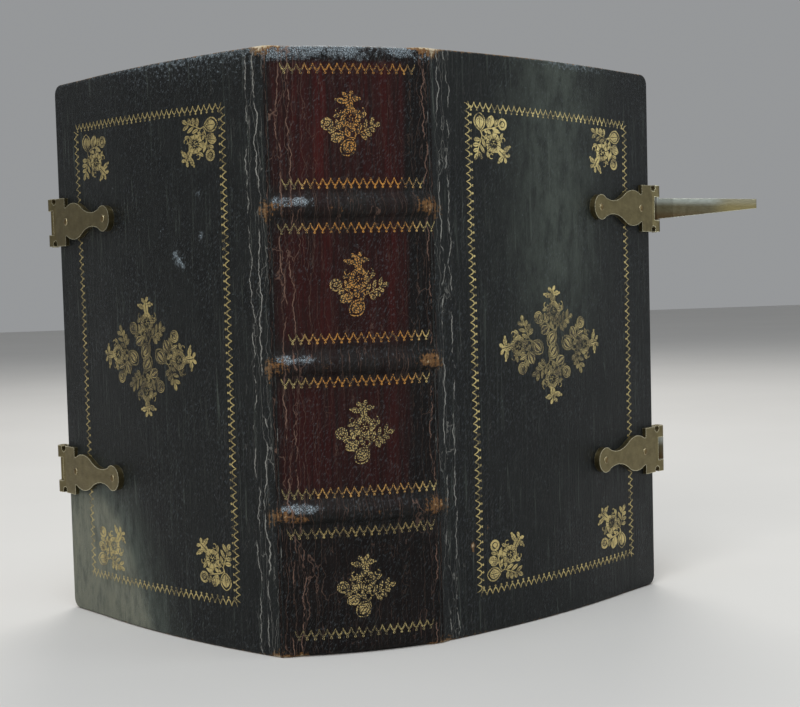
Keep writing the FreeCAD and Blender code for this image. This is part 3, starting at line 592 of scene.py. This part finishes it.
# Gilt tooling. Gold leaf pressed in with heated brass tools: a roll of peaks, festoons and
# pendants for the frames, and one floral tool, struck in the corners, the centres and the panels.
gilt, graph = material("gold_leaf", axes=2)
flat, rim = graph.mark("flat", "Vector"), graph.mark("rim")
loss = graph.noise(flat, 0.22, 4.0, 0.6)
specks = graph.noise(flat, 3.0, 4.0, 0.78)
hold = graph.math("MULTIPLY_ADD", loss, 0.7, specks)
hold = graph.math("MULTIPLY_ADD", graph.mark("worn"), graph.math("MULTIPLY_ADD", rim, 0.48, -0.40), hold)
dots = graph.span(graph.cells(flat, "F1", Scale=1.9), 0.12, 0.62, 0.32, -0.42)
hold = graph.math("MULTIPLY_ADD", graph.mark("grainy"), dots, hold)
kept = graph.span(hold, 0.71, 0.81)
tone = graph.blend(graph.noise(flat, 1.2, 3.0), (0.46, 0.35, 0.12, 1), (0.74, 0.62, 0.30, 1))
tone = graph.blend(graph.mark("red"), tone, (0.66, 0.29, 0.055, 1))
tone = graph.blend(kept, (0.034, 0.026, 0.014, 1), tone)
press = graph.add("Bump", None, Height=specks, Strength=0.7, Distance=0.0001)
finished(graph, tone, graph.span(specks, 0.3, 0.7, 0.28, 0.5), graph.span(kept, 0, 1, 0.2, 0.8), press)


def strip(left, right):
    return np.array([left, right], float)


def stroke(points, width, narrow=0.55):
    """A line with slimmer ends. Runs through its points on a smooth curve."""
    points = np.array(points, float)
    knots = np.linspace(0, 1, len(points))
    fine = np.linspace(0, 1, 3 * len(points) - 2)
    powers = min(len(points) - 1, 3)
    line = np.stack([np.polyval(np.polyfit(knots, points[:, k], powers), fine) for k in (0, 1)], 1)
    ahead = np.gradient(line, axis=0)
    ahead /= np.linalg.norm(ahead, axis=1)[:, None]
    across = np.stack([-ahead[:, 1], ahead[:, 0]], 1)
    half = width / 2 * (narrow + (1 - narrow) * np.sin(np.pi * fine))[:, None]
    return [strip(line + across * half, line - across * half)]


def leaf(foot, tip, width, power=1.0, vein=0.10):
    """A pointed or round leaf in two halves either side of its vein."""
    foot, tip = np.array(foot, float), np.array(tip, float)
    ahead = tip - foot
    across = np.array([-ahead[1], ahead[0]]) / np.linalg.norm(ahead)
    t = np.linspace(0, 1, 8)[:, None]
    half = np.sin(np.pi * t ** power) ** 0.7 * width * 0.56 + 0.04
    middle = foot + ahead * t
    gap = np.minimum(half * 0.5, vein)
    return [strip(middle + across * half, middle + across * gap),
            strip(middle - across * gap, middle - across * half)]


def ring(centre, radius, width, start=0, end=360):
    turn = np.radians(np.linspace(start, end, max(8, int((end - start) / 22))))
    way = np.stack([np.cos(turn), np.sin(turn)], 1)
    centre = np.array(centre, float)
    return [strip(centre + way * (radius + width / 2), centre + way * (radius - width / 2))]


def ball(centre, radius):
    turn = np.radians(np.linspace(90, 270, 6))
    centre = np.array(centre, float)
    left = centre + radius * np.stack([np.cos(turn), np.sin(turn)], 1)
    return [strip(left, left * [-1, 1] + centre * [2, 0])]


def sprig():
    """The floral tool, 16 mm across: bud in the corner, leaf spray below, rose at the right, and a
    flower and a tulip along the diagonal. x to the right, y down."""
    made = stroke([(3.2, -0.3), (1.0, 1.6), (1.3, 3.9), (3.2, 5.7)], 0.5) \
        + stroke([(3.2, -0.3), (5.2, 1.5), (5.3, 3.7), (3.7, 5.7)], 0.5) \
        + leaf((3.4, 5.3), (3.1, 0.7), 3.0, 1.2, 0.12) + stroke([(3.5, 5.5), (3.9, 6.6), (4.3, 7.6)], 0.5) \
        + stroke([(4.0, 6.2), (5.7, 5.3), (8.0, 4.9), (11.2, 4.0)], 0.45) \
        + leaf((7.5, 4.8), (8.6, 0.4), 2.7, 1.3) + leaf((7.0, 4.9), (6.4, 1.5), 1.1, 1.1, 0.0) \
        + leaf((8.6, 4.8), (12.2, 6.4), 1.2, 0.9, 0.0) + leaf((6.4, 5.6), (8.0, 6.8), 1.0, 1.0, 0.0) \
        + leaf((5.2, 5.6), (6.4, 6.6), 0.7, 1.0, 0.0) \
        + ring((13.2, 3.3), 1.65, 0.80) + ball((13.3, 3.4), 0.85) \
        + stroke([(12.2, 4.4), (12.7, 3.2), (13.6, 2.4)], 0.3) \
        + stroke([(4.3, 7.5), (5.4, 8.0), (6.4, 8.8)], 0.4)
    centre = np.array((9.1, 10.0))
    for k in range(9):
        turn = math.radians(40 * k + 18)
        way = np.array((math.cos(turn), math.sin(turn)))
        made += leaf(centre + way * 1.35, centre + way * (3.35 + 0.25 * (k % 2)), 1.9, 1.5, 0.14)
        if k % 3 == 0:
            made += ball(centre + way * 0.72, 0.27)
        if k % 3 == 1:
            made += ball(centre + way * 0.95, 0.2)
    made += ball(centre, 0.3)
    made += leaf((10.9, 11.9), (14.9, 14.9), 2.0, 1.0, 0.16) + leaf((13.0, 12.9), (16.3, 11.0), 1.5, 1.3) \
        + leaf((13.2, 14.3), (11.4, 16.4), 1.5, 1.3) + leaf((14.3, 14.2), (16.6, 13.8), 1.1, 1.3, 0.0) \
        + leaf((14.0, 14.5), (14.5, 16.7), 1.1, 1.3, 0.0) \
        + ball((16.4, 10.9), 0.45) + ball((11.2, 16.5), 0.45) \
        + stroke([(11.4, 11.4), (13.2, 12.2), (14.4, 13.2)], 0.34) \
        + stroke([(10.6, 12.4), (11.8, 13.8), (13.0, 14.6)], 0.34)
    made += stroke([(4.2, 7.4), (3.2, 10.0), (2.3, 12.4), (1.9, 14.4)], 0.42)
    made += ring((13.4, 8.8), 0.85, 0.3, 120, 400) + ring((8.0, 14.4), 0.85, 0.3, 50, 330)
    for foot, tip, width in (((8.4, 6.2), (10.7, 6.6), 0.9), ((5.1, 9.0), (6.3, 6.9), 0.8),
                             ((11.9, 8.4), (13.4, 6.4), 0.9),
                             ((6.5, 12.4), (6.6, 14.9), 0.9), ((9.9, 4.2), (10.9, 1.6), 1.0),
                             ((3.5, 8.9), (0.5, 8.8), 1.3), ((3.0, 10.4), (0.2, 10.8), 1.3),
                             ((2.6, 12.0), (0.3, 12.9), 1.2), ((2.1, 13.3), (0.9, 15.9), 1.3),
                             ((4.1, 8.2), (5.4, 11.4), 1.0), ((3.2, 10.4), (5.1, 13.6), 1.0),
                             ((2.4, 12.6), (4.1, 15.6), 1.1)):
        made += leaf(foot, tip, width, 1.2, 0.08)
    return [s * [1, -1] for s in made]


def placed(strips, turn, at, origin=(0, 0), scale=1.0):
    """Strikes a tool: turns it about its own origin point, and sets that point down."""
    c, s = math.cos(math.radians(turn)), math.sin(math.radians(turn))
    frame_2d = np.array([[c, s], [-s, c]]) * scale
    return [(part - np.array(origin)) @ frame_2d + np.array(at) for part in strips]


def roll_line(start, end, seed, tall=1.0):
    """The decorative roll run along a line. Its peaks point to the left of the way it runs."""
    start, end = np.array(start, float), np.array(end, float)
    length = np.linalg.norm(end - start)
    ahead = (end - start) / length
    across = np.array([-ahead[1], ahead[0]])
    chance = np.random.RandomState(seed)
    pitch = 2.40
    t = np.linspace(0, 1, 13)
    wave = 2.05 * np.abs(2 * t - 1) ** 2.0 - 0.45
    made = []
    for k in range(int(round(length / pitch))):
        shift = chance.uniform(-0.05, 0.05)
        line = np.stack([(k + t) * pitch, wave + shift], 1)
        way = np.gradient(line, axis=0)
        way /= np.linalg.norm(way, axis=1)[:, None]
        normal = np.stack([-way[:, 1], way[:, 0]], 1)
        half = 0.08 + 0.15 * (1 - np.abs(2 * t - 1) ** 2)[:, None]
        made.append(strip(line + normal * half, line - normal * half))
        centre = (k + 0.5) * pitch
        made += [part + [0, shift] for part in ball((centre, -1.22), 0.37)]
        made.append(strip([(centre - 0.2, -0.4), (centre - 0.15, -1.0)],
                          [(centre + 0.2, -0.4), (centre + 0.15, -1.0)]))
    return [start + part[..., :1] * ahead + part[..., 1:] * across * tall for part in made]


def tooling(name, strips, surface, body, red, worn, grainy=0.0):
    """Lays strips of gold on the leather, with a slight swell so that they catch the light."""
    swell = np.array([0.035, 0.075, 0.035])[:, None]
    points, faces, total = [], [], 0
    marks = {"flat": [], "red": [], "worn": [], "rim": [], "grainy": []}
    for left, right in strips:
        rows = np.stack([left, (left + right) / 2, right], 0)
        count = rows.shape[0] * rows.shape[1]
        points.append(surface(rows[..., 0], rows[..., 1], swell).reshape(-1, 3))
        marks["flat"].append(np.concatenate([rows.reshape(-1, 2), np.zeros((count, 1))], 1))
        marks["red"].append(red(rows[..., 0], rows[..., 1]).ravel())
        marks["worn"].append(worn(rows[..., 0], rows[..., 1]).ravel())
        marks["rim"].append(np.repeat([1, 0, 1], len(left)))
        marks["grainy"].append(np.full(count, grainy))
        faces += sheet_faces(3, len(left), total)
        total += count
    made = piece(name, np.concatenate(points), faces,
                 {key: np.concatenate(values) for key, values in marks.items()})
    made.data.materials.append(gilt)
    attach(made, body)


def no_red(a, b):
    return a * 0


tool = sprig()
for side, body, centre in ((1, "front_cover", 48.5), (-1, "back_cover", 53.7)):
    near, far, low, high = 13.5, WIDTH - 14.0, 13.6, HEIGHT - 15.3
    if side > 0:
        corners = (near, high - 1.2), (far - 1.3, high - 3.1), (far - 0.9, low), (near + 0.9, low - 0.3)
        steps = (1.5, -2.1), (-3.3, -1.5), (-2.8, 3.0), (2.9, 1.9)
    else:
        corners = ((-far, high - 0.5), (-near - 1.7, high - 1.0), (-near - 1.7, low + 1.3),
                   (1 - far, low + 0.8))
        steps = (3.3, -2.9), (-2.0, -1.9), (-1.5, 3.3), (3.6, 2.5)
    lines = []
    for a, b, seed in ((0, 1, 1), (2, 3, 2), (3, 0, 3), (1, 2, 4)):
        lines += roll_line(corners[a], corners[b], seed, 0.88)
    flowers = []
    for turn, corner, step in zip((0, -90, 180, 90), corners, steps):
        stretch = (1.05, 0.92) if abs(corner[0]) > 50 else (0.94, 0.90)
        flowers += placed(tool, turn, np.add(corner, step), scale=np.array(stretch))
    for turn, origin in ((135, 1.5), (315, 1.5), (45, -2.3), (225, -2.3)):
        flowers += placed(tool, turn, (side * centre, 88.6), (origin, -origin), 0.96)

    def on_face(a, b, out):
        return on_cover(side, side * a, b, out)

    def worn_middle(a, b):
        return 1.1 * (1 - fade(np.hypot((a - side * centre) / 1.3, b - 88), 7, 19)) + 0.15

    tooling(body + "_gilt_frame", lines, on_face, body, no_red, lambda a, b: a * 0 + 0.25)
    tooling(body + "_gilt_flowers", flowers, on_face, body, no_red, worn_middle)

lines, flowers = [], []
for k, (height, start, end) in enumerate((
        (173.1, -20.4, 21.4), (139.8, -20.8, 23.4), (126.8, -22.4, 24.4), (94.4, -20.2, 24.2),
        (81.6, -22.8, 23.8), (48.8, -23.6, 23.4), (36.9, -22.4, 23.0), (6.6, -21.0, 21.6))):
    lines += roll_line((start, height), (end, height), 10 + k)
for across, height in ((-0.8, 157.4), (0.5, 110.4), (0.9, 66.6), (0.1, 20.6)):
    flowers += placed(tool, 135, (across, height), (8.6, -8.4), 0.92)
tooling("back_gilt_lines", lines, on_spine, "book_block",
        lambda a, b: (1 - fade(np.abs(a - 2), 12, 22)) * 0.9 * fade(b, 30, 60),
        lambda a, b: 0.35 + 0.5 * (2 - fade(a, -20, -10) - fade(b, 36, 50)) + 0.3 * fade(b, 171, 172),
        grainy=0.25)
tooling("back_gilt_flowers", flowers, on_spine, "book_block",
        lambda a, b: (0.2 + 0.5 * (1 - fade(np.abs(a), 1, 6))) * fade(b, 70, 105) + 0.10,
        lambda a, b: 0.25 + 0.3 * (1 - fade(b, 75, 95)), grainy=0.9)

# Brass of the clasps. Cast and filed plates, dull olive on their faces and rubbed bright on their
# edges, which are also painted brighter as a highlight, with drawn pins, hammered nail heads, and arms with
# a painted silvery highlight on top and painted shade below.
edge_rub_and_highlight = bpy.data.node_groups.new("rubbed_and_highlit_edges", "ShaderNodeTree")
for name in ("Edge", "Grime"):
    edge_rub_and_highlight.interface.new_socket(name, in_out="OUTPUT", socket_type="NodeSocketFloat")
graph = Graph(edge_rub_and_highlight)
soft_normal = graph.add("Bevel", {"samples": 6}, Radius=0.0005)
true_normal = graph.add("NewGeometry").outputs["Normal"]
facing = graph.add("VectorMath", {"operation": "DOT_PRODUCT"}, i0=soft_normal, i1=true_normal)
facing = facing.outputs["Value"]
place = graph.add("TexCoord").outputs["Object"]
ragged = graph.around(graph.noise(place, 900, 4.0, 0.7), 0.7)
# Edges: rubbed bright, and painted brighter as a highlight.
edge = graph.math("ADD", graph.span(facing, 0.80, 0.985, 1.0, 0.0), ragged)
outlet = graph.add("NodeGroupOutput")
graph.feed(outlet.inputs[0], graph.span(edge, 0.25, 0.7))
graph.feed(outlet.inputs[1], graph.span(graph.noise(place, 260, 5.0, 0.65), 0.42, 0.68))


def brass(name, dull, dark, bright, rough, along=None):
    """Old brass. An arm has its length along this axis: a silvery highlight is painted on its top and brown
    shade below, and it is pitted at the tip.
    """
    made, g = material(name)
    place = g.add("TexCoord").outputs["Object"]
    worn = g.group(edge_rub_and_highlight)
    color = g.blend(g.noise(place, 420, 4.0, 0.6), dull, dark)
    color = g.blend(g.math("MULTIPLY", worn.outputs["Grime"], 0.5), color, dark)
    file_marks = g.noise(g.scaled(place, 500, 500, 2600), 1.0, 3.0, 0.6)
    relief, lift = 0.25, file_marks
    if along is not None:
        share = g.add("SeparateXYZ", None, Vector=g.add("TexCoord").outputs["Generated"])
        tip = g.span(g.math("ADD", share.outputs[along], g.math("MULTIPLY", file_marks, 0.1)), 0.55, 0.80)
        # Painted shade: brown along the lower side of the arm.
        color = g.blend(g.span(share.outputs[2], 0.50, 0.10), color, (0.075, 0.048, 0.022, 1))
        color = g.blend(tip, color, (0.21, 0.17, 0.075, 1))
        # Painted highlight: silvery along the top of the arm, weaker at the tip.
        upper = g.math("MULTIPLY", g.span(share.outputs[2], 0.58, 0.92), g.span(tip, 0.0, 1.0, 0.8, 0.3))
        color = g.blend(upper, color, (0.32, 0.34, 0.31, 1))
        pits = g.math("MULTIPLY", g.noise(place, 1500, 4.0, 0.7), g.span(tip, 0.0, 1.0, 0.5, 3.0))
        relief, lift = 0.4, g.math("ADD", lift, pits)
    # Brighter edges: rubbed brass with a painted highlight.
    color = g.blend(worn.outputs["Edge"], color, bright)
    rough = g.span(file_marks, 0.3, 0.7, rough - 0.07, rough + 0.10)
    rough = g.math("MULTIPLY_ADD", worn.outputs["Edge"], -0.12, rough)
    finished(g, color, rough, 0.95, g.add("Bump", None, Height=lift, Strength=relief, Distance=0.0001))
    return made


arm_tones = (0.12, 0.108, 0.068, 1), (0.07, 0.056, 0.028, 1), (0.50, 0.49, 0.40, 1)
plate_brass = brass("plate_brass", (0.24, 0.20, 0.10, 1), (0.11, 0.088, 0.04, 1),
                    (0.88, 0.82, 0.58, 1), rough=0.40)
upper_arm_brass = brass("upper_arm_brass", *arm_tones, rough=0.40, along=0)
lower_arm_brass = brass("lower_arm_brass", *arm_tones, rough=0.40, along=1)
nail_brass = brass("nail_brass", (0.22, 0.16, 0.07, 1), (0.10, 0.07, 0.03, 1),
                   (0.62, 0.55, 0.36, 1), rough=0.45)

# Pages, pastedowns and linings. Hand-made paper, browned at the edges; the block shows its leaves
# as fine lines at head, tail and fore edge.
paper, graph = material("aged_leaves")
place = graph.add("TexCoord").outputs["Object"]
leaves = graph.noise(graph.scaled(place, 5200, 9, 9), 1.0, 3.0, 0.75)
facing = graph.add("SeparateXYZ", None, Vector=graph.add("NewGeometry").outputs["Normal"]).outputs[0]
edges = graph.span(graph.math("ABSOLUTE", facing), 0.5, 0.9, 1.0, 0.0)
stain = graph.noise(graph.scaled(place, 22, 22, 22), 1.0, 5.0, 0.6)
tone = graph.blend(graph.span(stain, 0.3, 0.8), (0.63, 0.53, 0.36, 1), (0.50, 0.39, 0.23, 1))
gaps = graph.math("MULTIPLY", graph.span(leaves, 0.42, 0.62, 1.0, 0.0), edges)
tone = graph.blend(gaps, tone, (0.22, 0.15, 0.08, 1))
finished(graph, tone, 0.85, 0.0, graph.add("Bump", None, Height=gaps, Strength=0.5, Distance=0.0003))

endpaper, graph = material("endpaper")
place = graph.add("TexCoord").outputs["Object"]
stain = graph.noise(graph.scaled(place, 16, 16, 16), 1.0, 6.0, 0.62)
laid = graph.add("TexWave", {"bands_direction": "Z"}, Vector=place, Scale=260.0, Distortion=1.5,
                 Detail=2.0).outputs[1]
tone = graph.blend(graph.span(stain, 0.3, 0.75), (0.66, 0.57, 0.40, 1), (0.48, 0.38, 0.22, 1))
tone = graph.blend(graph.math("MULTIPLY", laid, 0.12), tone, (0.40, 0.31, 0.18, 1))
finished(graph, tone, 0.9, 0.0, graph.add("Bump", None, Height=stain, Strength=0.3, Distance=0.0005))

# Boards, cords and end bands. Plain oak under the leather, hemp cords, and silk sewn over a core.
oak, graph = material("oak")
place = graph.add("TexCoord").outputs["Object"]
rings_of_oak = graph.noise(graph.scaled(place, 400, 400, 9), 1.0, 4.0, 0.6)
tone = graph.blend(rings_of_oak, (0.20, 0.11, 0.05, 1), (0.36, 0.23, 0.12, 1))
finished(graph, tone, 0.7, 0.0, graph.add("Bump", None, Height=rings_of_oak, Strength=0.3, Distance=0.0003))

thread, graph = material("sewn_thread")
place = graph.add("TexCoord").outputs["Object"]
turns = graph.add("TexWave", {"bands_direction": "X"}, Vector=place, Scale=700.0, Distortion=0.6,
                  Detail=2.0).outputs[1]
tone = graph.blend(graph.span(turns, 0.35, 0.65), (0.34, 0.10, 0.06, 1), (0.58, 0.46, 0.28, 1))
finished(graph, tone, 0.7, 0.0, graph.add("Bump", None, Height=turns, Strength=0.8, Distance=0.0003))

for name, node in nodes.items():
    if node.hide_render:
        continue
    if name == "text_block":
        finish = paper
    elif "pastedown" in name or "lining" in name:
        finish = endpaper
    elif name.endswith("_board"):
        finish = oak
    elif "band" in name or "cord" in name:
        finish = thread
    elif "arm" in name:
        finish = upper_arm_brass if "upper" in name else lower_arm_brass
    elif "nails" in name:
        finish = nail_brass
    else:
        finish = plate_brass
    node.data.materials.clear()
    node.data.materials.append(finish)
